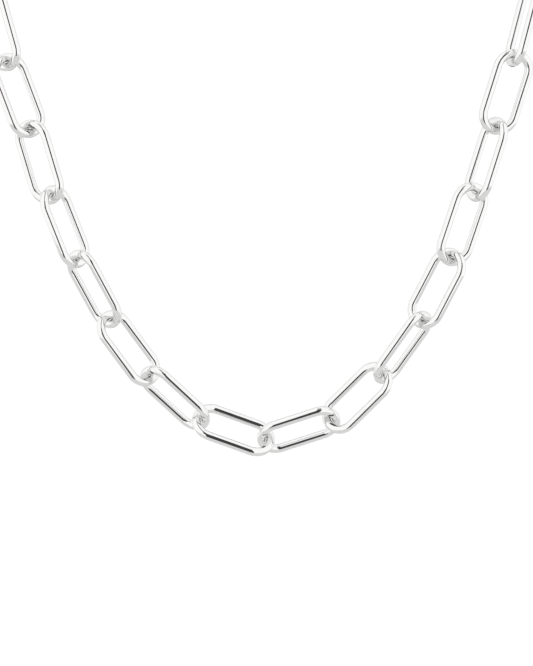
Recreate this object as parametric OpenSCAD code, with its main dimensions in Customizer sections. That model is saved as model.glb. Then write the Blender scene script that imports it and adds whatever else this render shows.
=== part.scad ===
// Paperclip chain necklace: long round-ended wire links in a closed loop with one
// plain clasp at the nape. Lengths in mm, Z up, front at -Y. The origin is the
// middle of the neck opening, level with the clasp.

/* [Link] */
// Thickness of the round wire
wire = 1.6; // [1.2:0.05:2]
// Outer length of a link
link_length = 16; // [13:0.25:20]
// Outer width of a link
link_width = 7.8; // [6.6:0.1:10]
// Free play where one piece hangs in the next
joint_gap = 0.1; // [0.05:0.05:0.3]

/* [Clasp] */
// Thickness of the clasp's wire
clasp_wire = 2; // [1.6:0.1:2.6]
// Outer length of the clasp's ring
clasp_length = 15; // [12:0.5:20]
// Outer width of the clasp's ring
clasp_width = 8.6; // [7.6:0.1:11]
// Thickness of the wire of the clasp's end eye
eye_wire = 1.4; // [1.1:0.1:1.8]
// Room for the link's wire inside the eye
eye_play = 1.6; // [1.2:0.1:2.4]

/* [Chain] */
// Links on each side, from the bottom of the drop to the clasp
side_links = 19; // [15:1:23]
// Height of the clasp above the top of the drop
nape_rise = 44; // [30:1:60]

/* [Hidden] */
$fn = 48;
silver = [0.86, 0.87, 0.88];
left = -1;
right = 1;

// The drop, one row for each pair of links, counted up from the lowest, in whole
// degrees: the angle at which a link hangs, how far it is turned from an even 45, and
// how far the pull below it leans, anticlockwise from the front. The lowest joint has
// one lean.
// left_angle, left_turn, left_lean, right_angle, right_turn, right_lean
drop = [
    [20,   0,   7,  18, -10,   7],
    [43,   0,  23,  45,   8, -10],
    [54,   0,   5,  55,   9, -19],
    [62,   0, -19,  63,   6,  20],
    [69,  -9,   0,  72, -16,   6],
    [74, -12,  18,  73, -16, -17],
    [70,   6,  -5,  73, -28,   8],
    [75,  -8,  -6,  76, -30,  20],
];
drop_links = len(drop);

// How far the way round the neck keeps its first and its last direction, as shares
// of its length
side_share = 0.42;
back_share = 0.4;

bend_radius = (link_width - wire) / 2;
half_straight = (link_length - link_width) / 2;
hold = wire + joint_gap;
pitch = link_length - wire - hold;
hidden_links = side_links - drop_links;
hidden_length = hidden_links * pitch;
// How far two neighbours may turn from a right angle before their sides meet
free_turn = 90 - 2 * asin(sqrt(hold / (2 * bend_radius)));

clasp_radius = (clasp_width - clasp_wire) / 2;
clasp_half = (clasp_length - clasp_width) / 2;
eye_radius = (wire + eye_play + eye_wire) / 2;
eye_centre = clasp_length / 2 + eye_radius;
clasp_near = clasp_length / 2 - clasp_wire - joint_gap / 2;
clasp_far = eye_centre + eye_radius - (eye_wire + joint_gap) / 2;

function unit(v) = v / norm(v);
function across(v, u) = unit(v - (v * u) * u);

// Point of a bend that takes the pull, seen from the bend's centre
function seat(pull, u, t, radius = bend_radius) =
    radius * unit((pull * u) * u + (pull * t) * t);

// A link is held as [centre, direction, width direction, inward normal]. It points
// away from the bottom of the drop.
function turned(u, n, side, roll) = cos(roll) * n + sin(roll) * side * cross(u, n);
function lay(side, i) = side * (i % 2 == 0 ? 45 : -45);
function grip(link, pull) =
    link[0] + half_straight * link[1] + seat(pull, link[1], link[2]);
function hung(held, pull, u, t, n) =
    [held - hold * pull + seat(pull, u, t) + half_straight * u, u, t, n];

// The drop: each link hangs in the one before it, the two lowest in each other
function way(side, i) =
    let (a = drop[i][side == left ? 0 : 3]) [side * cos(a), 0, sin(a)];
function turn(side, i) =
    let (wish = drop[i][side == left ? 1 : 4],
         before = i > 0 ? turn(side, i - 1) : drop[0][1])
    max(before - free_turn, min(before + free_turn, wish));
function leant(v, side, i) =
    let (a = drop[i][side == left ? 2 : 5])
    [cos(a) * v.x - sin(a) * v.z, v.y, sin(a) * v.x + cos(a) * v.z];
function drop_side(side, i = 0, last = []) =
    i == drop_links ? [] :
    let (u = way(side, i),
         n = side * [-u.z, 0, u.x],
         t = turned(u, n, side, lay(side, i) + turn(side, i)),
         pull = leant(unit(u + (i == 0 ? -way(-side, 0) : last[1])), side, i),
         item = hung(i == 0 ? hold / 2 * pull : grip(last, pull), pull, u, t, n))
    concat([item], drop_side(side, i + 1, item));

left_drop = drop_side(left);
right_drop = drop_side(right);
function top_of(links) =
    let (last = links[drop_links - 1]) last[0] + pitch / 2 * last[1];
left_top = top_of(left_drop);
right_top = top_of(right_drop);
nape = (left_top.z + right_top.z) / 2 + nape_rise;

// The way round the neck: up from the top of the drop, back, and in to the clasp.
// It runs on straight past its end, so that a walk along it never stops short.
function round_neck(side, depth, ease) =
    let (a = side == left ? left_top : right_top,
         d = [side * (clasp_near + clasp_far) / 2, depth, nape])
    [a, a + ease * side_share * hidden_length * way(side, drop_links - 1),
     d + [side * ease * back_share * hidden_length, 0, 0], d];
function at(c, t) =
    t > 1 ? c[3] + 3 * (t - 1) * (c[3] - c[2])
          : pow(1 - t, 3) * c[0] + 3 * t * pow(1 - t, 2) * c[1]
            + 3 * t * t * (1 - t) * c[2] + pow(t, 3) * c[3];

// A walk along the way in steps of one pitch
function step(c, p, lo, hi, n = 24) =
    let (mid = (lo + hi) / 2)
    n == 0 ? mid
           : norm(at(c, mid) - p) < pitch ? step(c, p, mid, hi, n - 1)
                                          : step(c, p, lo, mid, n - 1);
function next(c, t) = step(c, at(c, t), t, t + 0.5);
function walk(c, t, n) = n == 0 ? t : walk(c, next(c, t), n - 1);

// The loop is as deep as the left side's links reach, and the right side's sweep is
// eased until its links end at the same clasp.
function fit_depth(lo, hi, n = 26) =
    let (mid = (lo + hi) / 2)
    n == 0 ? mid
           : walk(round_neck(left, mid, 1), 0, hidden_links) > 1
             ? fit_depth(mid, hi, n - 1) : fit_depth(lo, mid, n - 1);
depth = fit_depth(0, hidden_length);
function fit_ease(lo, hi, n = 26) =
    let (mid = (lo + hi) / 2)
    n == 0 ? mid
           : walk(round_neck(right, depth, mid), 0, hidden_links) > 1
             ? fit_ease(mid, hi, n - 1) : fit_ease(lo, mid, n - 1);
ease_share = fit_ease(0.5, 1.75);

// The clasp's ring faces the left side. Its eye, a quarter turn on, faces the right.
clasp_middle = [(clasp_near - clasp_far) / 2, depth, nape];
clasp_way = [1, 0, 0];
clasp_roll = lay(left, side_links);
clasp_across = [0, -cos(clasp_roll), sin(clasp_roll)];
function clasp_seat(side, pull) =
    side == left
        ? clasp_middle - clasp_half * clasp_way
          - seat(pull, clasp_way, clasp_across, clasp_radius)
          + ((wire + clasp_wire) / 2 + joint_gap) * pull
        : clasp_middle + eye_centre * clasp_way
          - seat(pull, clasp_way, cross(clasp_way, clasp_across), eye_radius)
          + ((wire + eye_wire) / 2 + joint_gap) * pull;

// Links of the hidden stretch point along the walk and hang in each other as those
// of the drop do. The little that then lacks at the clasp is shared among them.
function hidden_side(side, c, i, t, last) =
    i == side_links ? [] :
    let (t2 = next(c, t),
         u = unit(at(c, t2) - at(c, t)),
         n = across(last[3], u),
         fade = (side_links - 1 - i) / hidden_links,
         roll = lay(side, i) + fade * turn(side, drop_links - 1),
         pull = unit(last[1] + u),
         item = hung(grip(last, pull), pull, u, turned(u, n, side, roll), n))
    concat([item], hidden_side(side, c, i + 1, t2, item));
function closed_side(side, start, c) =
    let (raw = hidden_side(side, c, drop_links, 0, start[drop_links - 1]),
         last = raw[hidden_links - 1],
         pull = unit(last[1] - side * clasp_way),
         lack = clasp_seat(side, pull) - grip(last, pull))
    concat(start, [for (i = [0 : hidden_links - 1])
        [raw[i][0] + (i + 1) / hidden_links * lack, raw[i][1], raw[i][2]]]);

left_links = closed_side(left, left_drop, round_neck(left, depth, 1));
right_links = closed_side(right, right_drop, round_neck(right, depth, ease_share));

// All links in order: from the clasp down the left side and up the right
links = concat([for (i = [side_links - 1 : -1 : 0]) left_links[i]], right_links);
function link_name(i) = str("link_", i < 9 ? "0" : "", i + 1);

origin = [0, depth / 2, nape];

module placed(centre, u, t) {
    w = cross(u, t);
    p = centre - origin;
    multmatrix([[u.x, t.x, w.x, p.x], [u.y, t.y, w.y, p.y], [u.z, t.z, w.z, p.z]])
        children();
}

// Round-ended ring of round wire, long side along X, lying in the XY plane
module oval(length, width, thickness) {
    radius = (width - thickness) / 2;
    half = (length - width) / 2;
    for (s = [-1, 1]) {
        translate([-half, s * radius, 0])
            rotate([0, 90, 0])
                cylinder(d = thickness, h = 2 * half);
        translate([s * half, 0, 0])
            rotate([0, 0, s * 90 - 180])
                rotate_extrude(angle = 180)
                    translate([radius, 0])
                        circle(d = thickness);
    }
}

module link(item) {
    color(silver)
        placed(item[0], item[1], item[2])
            oval(link_length, link_width, wire);
}

// The clasp: a ring for the left side's last link, and an eye soldered on at a right
// angle for the right side's
module clasp() {
    color(silver)
        placed(clasp_middle, clasp_way, clasp_across) {
            oval(clasp_length, clasp_width, clasp_wire);
            translate([eye_centre, 0, 0])
                rotate([90, 0, 0])
                    rotate_extrude()
                        translate([eye_radius, 0])
                            circle(d = eye_wire);
        }
}

for (i = [0 : len(links) - 1])
    link(links[i]);
clasp();
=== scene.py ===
import math

import bmesh
import bpy
import numpy as np
from mathutils import Matrix, Vector


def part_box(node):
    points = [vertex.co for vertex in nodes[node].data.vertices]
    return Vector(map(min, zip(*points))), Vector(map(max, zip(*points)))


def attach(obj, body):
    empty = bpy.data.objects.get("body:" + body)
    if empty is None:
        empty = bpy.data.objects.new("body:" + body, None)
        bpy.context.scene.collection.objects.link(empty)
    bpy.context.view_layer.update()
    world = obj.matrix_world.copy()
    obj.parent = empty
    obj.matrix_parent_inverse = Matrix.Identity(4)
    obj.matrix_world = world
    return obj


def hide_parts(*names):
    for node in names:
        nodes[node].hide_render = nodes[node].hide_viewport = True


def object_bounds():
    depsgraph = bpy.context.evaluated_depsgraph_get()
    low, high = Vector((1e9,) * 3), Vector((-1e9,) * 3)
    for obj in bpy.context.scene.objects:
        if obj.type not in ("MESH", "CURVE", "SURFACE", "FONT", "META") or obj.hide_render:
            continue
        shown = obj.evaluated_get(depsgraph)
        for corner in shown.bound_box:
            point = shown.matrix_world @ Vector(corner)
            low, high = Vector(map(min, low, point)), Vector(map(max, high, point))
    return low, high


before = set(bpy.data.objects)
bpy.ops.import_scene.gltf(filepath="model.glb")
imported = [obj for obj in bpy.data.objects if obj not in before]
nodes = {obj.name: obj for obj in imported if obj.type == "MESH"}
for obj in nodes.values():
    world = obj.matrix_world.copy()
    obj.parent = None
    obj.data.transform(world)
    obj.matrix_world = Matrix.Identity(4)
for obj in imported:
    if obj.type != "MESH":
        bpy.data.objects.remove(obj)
cadBox = [list(corner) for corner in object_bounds()]
linkNames = sorted(name for name in nodes if name.startswith("link_"))
print("frame loaded:", len(linkNames), "links and the clasp")


# A node's output that can stand in a sum. Numbers alone stay plain Python.
class Flow:
    def __init__(self, maker, socket):
        self.maker = maker
        self.socket = socket

    def __add__(self, other):
        return self.maker.maths("ADD", self, other)

    def __radd__(self, other):
        return self.maker.maths("ADD", other, self)

    def __sub__(self, other):
        return self.maker.maths("SUBTRACT", self, other)

    def __rsub__(self, other):
        return self.maker.maths("SUBTRACT", other, self)

    def __mul__(self, other):
        return self.maker.maths("MULTIPLY", self, other)

    def __rmul__(self, other):
        return self.maker.maths("MULTIPLY", other, self)

    def __truediv__(self, other):
        return self.maker.maths("DIVIDE", self, other)

    def __rtruediv__(self, other):
        return self.maker.maths("DIVIDE", other, self)


# Puts nodes into one tree: settings first, then the values or links of the sockets
class Maker:
    def __init__(self, tree):
        self.tree = tree

    def add(self, kind, settings=None, inputs=None, out=0):
        node = self.tree.nodes.new(kind)
        for name, value in (settings or {}).items():
            setattr(node, name, value)
        for key, value in (inputs or {}).items():
            if isinstance(value, Flow):
                self.tree.links.new(value.socket, node.inputs[key])
            else:
                node.inputs[key].default_value = value
        return Flow(self, node.outputs[out]) if node.outputs else None

    def maths(self, operation, *values):
        return self.add("ShaderNodeMath", {"operation": operation}, dict(enumerate(values)))


# Empties the node tree of a material or world and gives the maker that fills it
def emptyTree(holder):
    holder.use_nodes = True
    holder.node_tree.nodes.clear()
    return Maker(holder.node_tree)


def noise(make, place, scale, detail):
    return make.add("ShaderNodeTexNoise", inputs={"Vector": place, "Scale": scale, "Detail": detail})


# 0 below the first limit and 1 above the second, with a soft step between
def softStep(make, value, low, high):
    return make.add("ShaderNodeMapRange", {"interpolation_type": "SMOOTHSTEP"}, {
        "Value": value, "From Min": low, "From Max": high})


def addToScene(name, data):
    item = bpy.data.objects.new(name, data)
    bpy.context.scene.collection.objects.link(item)
    return item


# Silver, with heights in metres and scales in waves per metre
silver = {
    "colour": (0.8, 0.798, 0.795, 1.0),
    "dullColour": (0.774, 0.772, 0.768, 1.0),
    "roughness": 0.035,
    "hazeScale": 420.0,        # hazy patches left by polishing
    "hazeFrom": 0.45,          # of the noise: haze begins here
    "hazeFull": 0.72,          # and is full here
    "hazeDulls": 0.6,          # how far haze goes to the dull colour
    "hazeRoughness": 0.03,     # how much rougher haze is
    "bowScale": 95.0,          # long slow waves left by bending the wire
    "bowHeight": 0.00009,
    "rippleScale": 420.0,      # short soft waves left by polishing
    "rippleHeight": 0.000011,
    "scratchScale": 5200.0,
    "scratchHeight": 0.0000006,
}


def polishedSilver():
    material = bpy.data.materials.new("polished_silver")
    make = emptyTree(material)
    place = make.add("ShaderNodeTexCoord", out="Object")
    haze = softStep(make, noise(make, place, silver["hazeScale"], detail=2.0),
                    silver["hazeFrom"], silver["hazeFull"])
    colour = make.add("ShaderNodeMix", {"data_type": "RGBA"}, {
        "Factor": haze * silver["hazeDulls"], 6: silver["colour"], 7: silver["dullColour"]}, out=2)
    height = (noise(make, place, silver["bowScale"], detail=0.0) * silver["bowHeight"]
              + noise(make, place, silver["rippleScale"], detail=1.0) * silver["rippleHeight"]
              + noise(make, place, silver["scratchScale"], detail=3.0) * silver["scratchHeight"])
    normal = make.add("ShaderNodeBump", inputs={"Strength": 1.0, "Distance": 1.0, "Height": height})
    surface = make.add("ShaderNodeBsdfPrincipled", inputs={
        "Base Color": colour,
        "Metallic": 1.0,
        "Roughness": haze * silver["hazeRoughness"] + silver["roughness"],
        "Normal": normal,
    })
    make.add("ShaderNodeOutputMaterial", inputs={"Surface": surface})
    return material


silverMaterial = polishedSilver()
print("silver mixed")


# Rings of wire
ringMesh = {
    "bendSteps": 26,        # steps round each bend
    "wireSides": 32,        # sides round the wire
    "mergeDistance": 1e-7,  # points closer than this are one
}


# One round-ended ring of wire on every point of the incoming mesh, turned as the
# point's "turn" says. A ring whose length is its width is a plain round one.
def ringTree():
    tree = bpy.data.node_groups.new("wireRings", "GeometryNodeTree")
    tree.is_modifier = True
    tree.interface.new_socket("Geometry", in_out="INPUT", socket_type="NodeSocketGeometry")
    for name, kind in (("Length", "Float"), ("Width", "Float"), ("Wire", "Float"),
                       ("Bend steps", "Int"), ("Wire sides", "Int"), ("Finish", "Material")):
        tree.interface.new_socket(name, in_out="INPUT", socket_type="NodeSocket" + kind)
    tree.interface.new_socket("Geometry", in_out="OUTPUT", socket_type="NodeSocketGeometry")
    make = Maker(tree)
    entry = tree.nodes.new("NodeGroupInput")
    given = {socket.name: Flow(make, socket) for socket in entry.outputs if socket.name}

    # the middle line: a circle whose two halves are drawn apart
    steps = given["Bend steps"]
    perHalf = steps + 1
    radius = (given["Width"] - given["Wire"]) * 0.5
    half = (given["Length"] - given["Width"]) * 0.5
    index = make.add("GeometryNodeInputIndex")
    farHalf = make.maths("FLOOR", index / perHalf)
    angle = ((index - farHalf * perHalf) / steps - 0.5 + farHalf) * math.pi
    alongX = make.maths("COSINE", angle) * radius + half * (1 - farHalf * 2)
    acrossY = make.maths("SINE", angle) * radius
    position = make.add("ShaderNodeCombineXYZ", inputs={"X": alongX, "Y": acrossY})
    circle = make.add("GeometryNodeCurvePrimitiveCircle", inputs={"Resolution": perHalf * 2})
    middleLine = make.add("GeometryNodeSetPosition", inputs={"Geometry": circle, "Position": position})

    section = make.add("GeometryNodeCurvePrimitiveCircle", inputs={
        "Resolution": given["Wire sides"], "Radius": given["Wire"] * 0.5})
    ring = make.add("GeometryNodeCurveToMesh", inputs={"Curve": middleLine, "Profile Curve": section})
    ring = make.add("GeometryNodeSetShadeSmooth", inputs={"Geometry": ring, "Shade Smooth": True})
    turn = make.add("GeometryNodeInputNamedAttribute", {"data_type": "QUATERNION"}, {"Name": "turn"})
    rings = make.add("GeometryNodeInstanceOnPoints", inputs={
        "Points": given["Geometry"], "Instance": ring, "Rotation": turn})
    rings = make.add("GeometryNodeRealizeInstances", inputs={"Geometry": rings})
    rings = make.add("GeometryNodeSetMaterial", inputs={"Geometry": rings, "Material": given["Finish"]})
    tree.links.new(rings.socket, tree.nodes.new("NodeGroupOutput").inputs[0])
    return tree


ringsOfWire = ringTree()


# A plain mesh of rings, one at each place, which is a centre and three axes
def wireRings(name, places, length, width, wire):
    seed = bpy.data.meshes.new(name + "Points")
    seed.from_pydata([centre for centre, axes in places], [], [])
    turn = seed.attributes.new("turn", "QUATERNION", "POINT")
    turn.data.foreach_set("value", [
        part for centre, axes in places for part in Matrix(axes).to_quaternion()])
    carrier = addToScene(name + "Carrier", seed)
    modifier = carrier.modifiers.new("rings", "NODES")
    modifier.node_group = ringsOfWire
    values = {"Length": length, "Width": width, "Wire": wire, "Finish": silverMaterial,
              "Bend steps": ringMesh["bendSteps"], "Wire sides": ringMesh["wireSides"]}
    for socket in ringsOfWire.interface.items_tree:
        if socket.in_out == "INPUT" and socket.name in values:
            modifier[socket.identifier] = values[socket.name]
    graph = bpy.context.evaluated_depsgraph_get()
    mesh = bpy.data.meshes.new_from_object(carrier.evaluated_get(graph))
    mesh.name = name
    bpy.data.objects.remove(carrier)
    return addToScene(name, mesh)


# Merges doubles, turns the faces outwards and makes them smooth. With an angle in
# degrees, edges that bend further stay sharp.
def tidyMesh(piece, sharpAngle=None):
    work = bmesh.new()
    work.from_mesh(piece.data)
    bmesh.ops.remove_doubles(work, verts=work.verts, dist=ringMesh["mergeDistance"])
    bmesh.ops.recalc_face_normals(work, faces=work.faces)
    for face in work.faces:
        face.smooth = True
    if sharpAngle:
        for edge in work.edges:
            edge.smooth = edge.calc_face_angle(0.0) < math.radians(sharpAngle)
    work.to_mesh(piece.data)
    work.free()


# Middle, axes (long, wide, thin) and sizes of a symmetric solid, from its surface
def solidPlace(node):
    mesh = node.data
    points = np.empty(len(mesh.vertices) * 3)
    mesh.vertices.foreach_get("co", points)
    points = points.reshape(-1, 3)
    mesh.calc_loop_triangles()
    corners = np.empty(len(mesh.loop_triangles) * 3, dtype=np.int32)
    mesh.loop_triangles.foreach_get("vertices", corners)
    triangles = points[corners.reshape(-1, 3)]
    area = np.linalg.norm(np.cross(triangles[:, 1] - triangles[:, 0],
                                   triangles[:, 2] - triangles[:, 0]), axis=1) / 2
    centre = (triangles.mean(axis=1) * area[:, None]).sum(axis=0) / area.sum()
    # second moments: a triangle's is a twelfth of its area times these products
    arms = triangles - centre
    total = arms.sum(axis=1)
    spread = (np.einsum("t,tci,tcj->ij", area, arms, arms)
              + np.einsum("t,ti,tj->ij", area, total, total)) / 12
    axes = np.linalg.eigh(spread)[1][:, ::-1]
    if np.linalg.det(axes) < 0:
        axes[:, 2] *= -1
    reach = (points - centre) @ axes
    return centre, axes, reach.max(axis=0) - reach.min(axis=0)


# The links, each where its CAD node is
solids = [solidPlace(nodes[name]) for name in linkNames]
linkPlaces = [(centre, axes) for centre, axes, size in solids]
linkSize = np.mean([size for centre, axes, size in solids], axis=0)
chainLinks = wireRings("chain_links", linkPlaces, *linkSize.tolist())
tidyMesh(chainLinks)
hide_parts(*linkNames)
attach(chainLinks, "root")
print("links made:", len(solids), "of", [round(size * 1000, 2) for size in linkSize], "mm,",
      len(chainLinks.data.polygons), "faces")


# The clasp: a ring along X and a soldered end eye, a quarter turn apart
clasp = {
    "length": 0.015,
    "width": 0.0086,
    "wire": 0.002,
    "roll": 45.0,        # the ring's turn round its length, in degrees
    "eyeAcross": 0.006,  # outside
    "eyeWire": 0.0014,
    "sharpAngle": 40.0,  # the soldered edge stays sharp
}
claspLow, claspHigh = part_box("clasp")
middle = (Vector(claspLow) + Vector(claspHigh)) / 2
ringMiddle = Vector((claspLow[0] + clasp["length"] / 2, middle.y, middle.z))
eyeMiddle = Vector((claspHigh[0] - clasp["eyeAcross"] / 2, middle.y, middle.z))
rolled = math.radians(clasp["roll"])
across = Vector((0.0, -math.cos(rolled), math.sin(rolled)))
alongClasp = Vector((1.0, 0.0, 0.0))
turned = alongClasp.cross(across)
ringAxes = Matrix((alongClasp, across, turned)).transposed()
eyeAxes = Matrix((alongClasp, turned, -across)).transposed()
claspPiece = wireRings("clasp_body", [(ringMiddle, ringAxes)],
                       clasp["length"], clasp["width"], clasp["wire"])
eyePiece = wireRings("clasp_eye", [(eyeMiddle, eyeAxes)],
                     clasp["eyeAcross"], clasp["eyeAcross"], clasp["eyeWire"])
for piece in (claspPiece, eyePiece):
    tidyMesh(piece)
joining = claspPiece.modifiers.new("solder", "BOOLEAN")
joining.operation = "UNION"
joining.solver = "EXACT"
joining.object = eyePiece
graph = bpy.context.evaluated_depsgraph_get()
claspPiece.data = bpy.data.meshes.new_from_object(claspPiece.evaluated_get(graph))
claspPiece.modifiers.clear()
bpy.data.objects.remove(eyePiece)
tidyMesh(claspPiece, clasp["sharpAngle"])
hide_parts("clasp")
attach(claspPiece, "root")
print("clasp made:", len(claspPiece.data.polygons), "faces")


# Camera, at the photograph's angle
camera = {
    "distance": 0.45,
    "elevation": 8.0,           # degrees above the aim
    "lens": 131.85,
    "clipStart": 0.01,
    "clipEnd": 50.0,
    "aimRight": 0.0001,         # from the lowest joint
    "aimAboveLowest": 0.02279,  # from the lowest link's underside
}
lowestZ = cadBox[0][2]
lowCorner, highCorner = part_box(linkNames[len(linkNames) // 2])
aim = Vector((camera["aimRight"], (lowCorner[1] + highCorner[1]) / 2,
              lowestZ + camera["aimAboveLowest"]))
tilt = math.radians(camera["elevation"])
towardsCamera = Vector((0.0, -math.cos(tilt), math.sin(tilt)))
cameraData = bpy.data.cameras.new("camera")
cameraData.lens = camera["lens"]
cameraData.clip_start = camera["clipStart"]
cameraData.clip_end = camera["clipEnd"]
cameraObject = addToScene("camera", cameraData)
cameraObject.location = aim + towardsCamera * camera["distance"]
cameraObject.rotation_euler = (-towardsCamera).to_track_quat("-Z", "Y").to_euler()
bpy.context.scene.camera = cameraObject
print("camera set")


# Studio: a white tent, a pale floor well below with painted shade and glow, and cloths that
# paint reflections for the silver to mirror
studio = {
    "tent": 1.2,             # brightness of the tent, in reflections
    "tentBehind": 0.94,      # the same behind the necklace
    "behindFrom": 0.2,       # a direction's Y where the tent begins to dim
    "behindFull": 0.8,       # and where it is as dim as that
    "tentSeen": 1.03,        # a shade over white, so that the background stays clean
    "floorRadius": 3.0,
    "floorSides": 64,
    "floorDrop": 0.47,       # below the lowest link
    "floorGrey": 0.72,
    "floorGrain": 0.05,
    "floorGrainScale": 6.0,
    "greyOut": 1.0,          # the floor is grey, painted shade, to this radius, then fades to a painted white glow
    "whiteFrom": 1.3,
    "clothDistance": 0.5,    # from the aim
    "foldPaintedLight": 0.14,        # painted light, added where a fold of a cloth would catch it
    "foldScale": 9.0,
    "foldStretch": 0.25,     # the pattern's scale along Z, so that folds hang
}
# Glowing cloths that only the silver sees, as painted reflections: the side they hang on,
# their grey, and their outline in degrees to the right (+X) and up, from the camera or from
# the point opposite it
cloths = {
    "dark_side": {"side": "front", "grey": 0.025, "outline": [
        (-16, -29), (-14, -38), (13, -38), (16, -30), (18, -12), (20, -3), (17, 5), (21, 20),
        (22, 35), (-3, 35), (-9, 15), (-13, 8), (-11, -3), (-10, -12)]},
    "grey_above": {"side": "front", "grey": 0.36, "outline": [
        (-6, 35), (14, 35), (13, 76), (-11, 76)]},
    "grey_low_left": {"side": "front", "grey": 0.63, "outline": [
        (-60, -32), (-42, -27), (-34, -38), (-46, -50), (-60, -46)]},
    "dark_behind": {"side": "back", "grey": 0.1, "outline": [
        (-8, -26), (7, -28), (10, 4), (7, 28), (-7, 26), (-10, -4)]},
}


def greyColour(make, value):
    return make.add("ShaderNodeCombineColor", inputs={"Red": value, "Green": value, "Blue": value})


# Light of the tent: clean white to the camera, and dimmer behind the necklace
def tentLight(make, towardsBack):
    behind = softStep(make, towardsBack, studio["behindFrom"], studio["behindFull"])
    seen = make.add("ShaderNodeLightPath", out="Is Camera Ray")
    reflected = studio["tent"] - behind * (studio["tent"] - studio["tentBehind"])
    return greyColour(make, seen * studio["tentSeen"] + (1 - seen) * reflected)


def studioWorld():
    world = bpy.data.worlds.new("studio")
    make = emptyTree(world)
    direction = make.add("ShaderNodeTexCoord", out="Generated")
    towardsBack = make.add("ShaderNodeSeparateXYZ", inputs={0: direction}, out="Y")
    light = make.add("ShaderNodeBackground", inputs={"Color": tentLight(make, towardsBack)})
    make.add("ShaderNodeOutputWorld", inputs={"Surface": light})
    return world


# Painted shade and light: grey below the necklace, and further out a painted glow as white as the tent
def floorShadeAndGlow():
    material = bpy.data.materials.new("floor_painted_shade_and_glow")
    make = emptyTree(material)
    place = make.add("ShaderNodeTexCoord", out="Object")
    out = make.add("ShaderNodeVectorMath", {"operation": "LENGTH"}, {0: place}, out="Value")
    white = softStep(make, out, studio["greyOut"], studio["whiteFrom"])
    grain = noise(make, place, studio["floorGrainScale"], detail=4.0)
    grey = (grain - 0.5) * studio["floorGrain"] + studio["floorGrey"]
    paint = make.add("ShaderNodeBsdfDiffuse", inputs={"Color": greyColour(make, grey)})
    towardsBack = make.add("ShaderNodeSeparateXYZ", inputs={0: place}, out="Y") / out
    # painted light: the floor glows with the tent's light, though no lamp lights it
    glow = make.add("ShaderNodeEmission", inputs={"Color": tentLight(make, towardsBack)})
    surface = make.add("ShaderNodeMixShader", inputs={0: white, 1: paint, 2: glow})
    make.add("ShaderNodeOutputMaterial", inputs={"Surface": surface})
    return material


# Painted reflection: a cloth that glows its own grey, with painted light where its upright
# folds catch a little light
def paintedReflectionCloth(name, grey):
    material = bpy.data.materials.new(name)
    make = emptyTree(material)
    place = make.add("ShaderNodeTexCoord", out="Object")
    hanging = make.add("ShaderNodeMapping", inputs={
        "Vector": place, "Scale": (1.0, 1.0, studio["foldStretch"])})
    fold = noise(make, hanging, studio["foldScale"], detail=3.0)
    # painted light on the folds, over the cloth's glowing grey
    glow = fold * fold * studio["foldPaintedLight"] + grey
    surface = make.add("ShaderNodeEmission", inputs={"Color": greyColour(make, glow)})
    make.add("ShaderNodeOutputMaterial", inputs={"Surface": surface})
    return material


def flatSheet(name, corners, material):
    mesh = bpy.data.meshes.new(name)
    mesh.from_pydata(corners, [], [tuple(range(len(corners)))])
    mesh.materials.append(material)
    sheet = addToScene(name, mesh)
    return sheet


bpy.context.scene.world = studioWorld()
radius = studio["floorRadius"]
floorCorners = []
for side in range(studio["floorSides"]):
    bearing = math.tau * side / studio["floorSides"]
    floorCorners.append((radius * math.cos(bearing), radius * math.sin(bearing), 0.0))
floor = flatSheet("floor", floorCorners, floorShadeAndGlow())
floor.location.z = lowestZ - studio["floorDrop"]

rightwards = Vector((1.0, 0.0, 0.0))
upwards = towardsCamera.cross(rightwards)
for name, cloth in cloths.items():
    towards = towardsCamera if cloth["side"] == "front" else -towardsCamera
    corners = []
    for right, above in cloth["outline"]:
        away = math.hypot(right, above)
        aside = (rightwards * right + upwards * above) * (math.tan(math.radians(away)) / away)
        corners.append(aim + (towards + aside) * studio["clothDistance"])
    sheet = flatSheet(name, corners, paintedReflectionCloth(name, cloth["grey"]))
    # Painted reflections only: the camera, shadows and diffuse light don't see the cloths
    sheet.visible_camera = False
    sheet.visible_shadow = False
    sheet.visible_diffuse = False
bpy.context.scene.view_settings.view_transform = "Standard"
print("studio lit")
